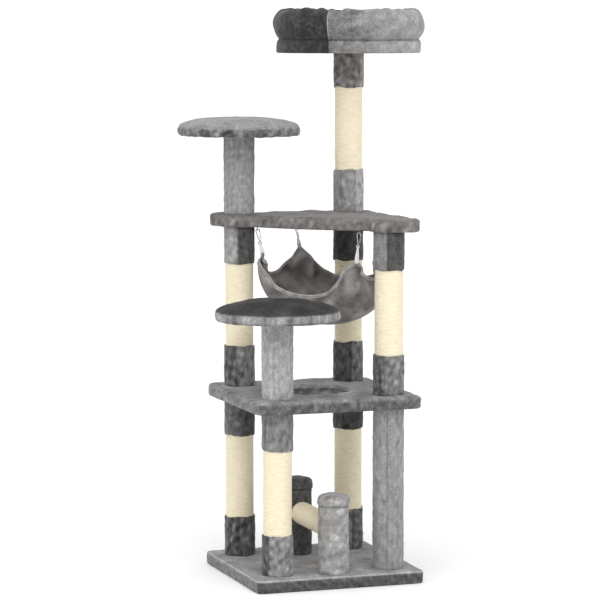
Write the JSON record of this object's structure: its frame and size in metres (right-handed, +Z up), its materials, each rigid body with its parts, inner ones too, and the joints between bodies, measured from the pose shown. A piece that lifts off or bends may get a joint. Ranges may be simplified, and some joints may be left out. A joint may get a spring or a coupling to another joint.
{
  "type": "cat tree",
  "caption": "Tall plush cat tree with sisal scratching posts, stacked square boards, round perches, a raised bed, a hanging hammock and a turning sisal roller.",
  "frame": {"origin": "centre of the base board's underside, on the floor", "axes": "+Z up; +X to the right along the base's front edge; +Y towards the back of the base"},
  "size_m": [0.7432, 0.7412, 1.6518],
  "materials": {
    "plush": "short-pile plush, mottled by its nap",
    "dark_plush": "short-pile plush brushed dark",
    "sisal": "wound natural rope, matt",
    "board": "raw particle board",
    "suede": "soft brushed suede cloth",
    "steel": "bright zinc or nickel plating",
    "webbing": "white woven tape"
  },
  "bodies": {
    "frame": {"base_board": "board", "base_cover": "plush", "middle_board": "board", "middle_cover": "plush", "top_board": "board", "top_cover": "plush", "back_left_lower_sisal_post": "sisal", "back_left_lower_foot_sleeve": "dark_plush", "back_left_lower_head_sleeve": "dark_plush", "front_left_lower_sisal_post": "sisal", "front_left_lower_foot_sleeve": "dark_plush", "front_left_lower_head_sleeve": "dark_plush", "back_right_lower_sisal_post": "sisal", "back_right_lower_foot_sleeve": "dark_plush", "back_right_lower_head_sleeve": "dark_plush", "back_left_upper_sisal_post": "sisal", "back_left_upper_foot_sleeve": "dark_plush", "back_left_upper_head_sleeve": "dark_plush", "back_right_upper_sisal_post": "sisal", "back_right_upper_foot_sleeve": "dark_plush", "back_right_upper_head_sleeve": "dark_plush", "front_right_upper_sisal_post": "sisal", "front_right_upper_foot_sleeve": "dark_plush", "front_right_upper_head_sleeve": "dark_plush", "bed_sisal_post": "sisal", "bed_foot_sleeve": "dark_plush", "bed_head_sleeve": "dark_plush", "front_right_lower_post": "plush", "front_perch_post": "plush", "left_perch_post": "plush", "front_perch_board": "board", "front_perch_cover": "plush", "left_perch_board": "board", "left_perch_cover": "plush", "bed_board": "board", "bed_cover": "plush", "bed_cushion": "plush", "roller_front_post": "plush", "roller_back_post": "dark_plush", "roller_axle": "steel", "back_left_base_bolt": "steel", "front_left_base_bolt": "steel", "back_right_base_bolt": "steel", "front_right_base_bolt": "steel", "roller_front_base_bolt": "steel", "roller_back_base_bolt": "steel", "left_screw_eye": "steel", "back_screw_eye": "steel", "front_screw_eye": "steel", "right_screw_eye": "steel"},
    "roller": {"roller_bar": "sisal"},
    "hammock_cloth": {"hammock": "suede"},
    "left_hook": {"left_snap_hook": "steel"},
    "left_gate": {"left_hook_gate": "steel"},
    "back_hook": {"back_snap_hook": "steel"},
    "back_gate": {"back_hook_gate": "steel"},
    "front_hook": {"front_snap_hook": "steel"},
    "front_gate": {"front_hook_gate": "steel"},
    "right_hook": {"right_snap_hook": "steel"},
    "right_gate": {"right_hook_gate": "steel"}
  },
  "joints": [
    {"name": "roller_spin", "type": "hinge", "parent": "frame", "child": "roller", "pos_m": [-0.006, 0, 0.164], "axis": [0, 1, 0], "continuous": true},
    {"name": "hammock_sway", "type": "slide", "parent": "frame", "child": "hammock_cloth", "axis": [1, 0, 0], "range_m": [-0.0045, 0.0045], "stiffness_N_per_m": 30},
    {"name": "left_hook_swing", "type": "hinge", "parent": "frame", "child": "left_hook", "pos_m": [-0.126, 0.136, 1.0023], "axis": [0, -1, 0], "range_deg": [-7.5, 7.5]},
    {"name": "back_hook_swing", "type": "hinge", "parent": "frame", "child": "back_hook", "pos_m": [0.016, 0.2, 1.0023], "axis": [0, -1, 0], "range_deg": [-7.8, 7.8]},
    {"name": "front_hook_swing", "type": "hinge", "parent": "frame", "child": "front_hook", "pos_m": [0.109, -0.091, 1.0023], "axis": [0, -1, 0], "range_deg": [-7.4, 7.4]},
    {"name": "right_hook_swing", "type": "hinge", "parent": "frame", "child": "right_hook", "pos_m": [0.21, -0.06, 1.0023], "axis": [0, -1, 0], "range_deg": [-7.5, 7.5]},
    {"name": "left_gate_press", "type": "hinge", "parent": "left_hook", "child": "left_gate", "pos_m": [-0.11619, 0.1316, 0.97504], "axis": [-0.3254, -0.9451, 0.0311], "range_deg": [0, 18], "stiffness_Nm_per_rad": 0.02, "springref_deg": -11.46},
    {"name": "back_gate_press", "type": "hinge", "parent": "back_hook", "child": "back_gate", "pos_m": [0.02145, 0.1918, 0.97474], "axis": [0.6134, -0.731, 0.2988], "range_deg": [0, 18], "stiffness_Nm_per_rad": 0.02, "springref_deg": -11.46},
    {"name": "front_gate_press", "type": "hinge", "parent": "front_hook", "child": "front_gate", "pos_m": [0.11139, -0.08888, 0.97339], "axis": [-0.3244, -0.9421, -0.0849], "range_deg": [0, 18], "stiffness_Nm_per_rad": 0.02, "springref_deg": -11.46},
    {"name": "right_gate_press", "type": "hinge", "parent": "right_hook", "child": "right_gate", "pos_m": [0.20828, -0.05767, 0.97336], "axis": [-0.3252, -0.9443, -0.0501], "range_deg": [0, 18], "stiffness_Nm_per_rad": 0.02, "springref_deg": -11.46}
  ],
  "couplings": [
    {"joint": "left_hook_swing", "follows": "hammock_sway", "rad_per_m": 27.086},
    {"joint": "back_hook_swing", "follows": "hammock_sway", "rad_per_m": 28.257},
    {"joint": "front_hook_swing", "follows": "hammock_sway", "rad_per_m": 26.652},
    {"joint": "right_hook_swing", "follows": "hammock_sway", "rad_per_m": 27.093}
  ]
}
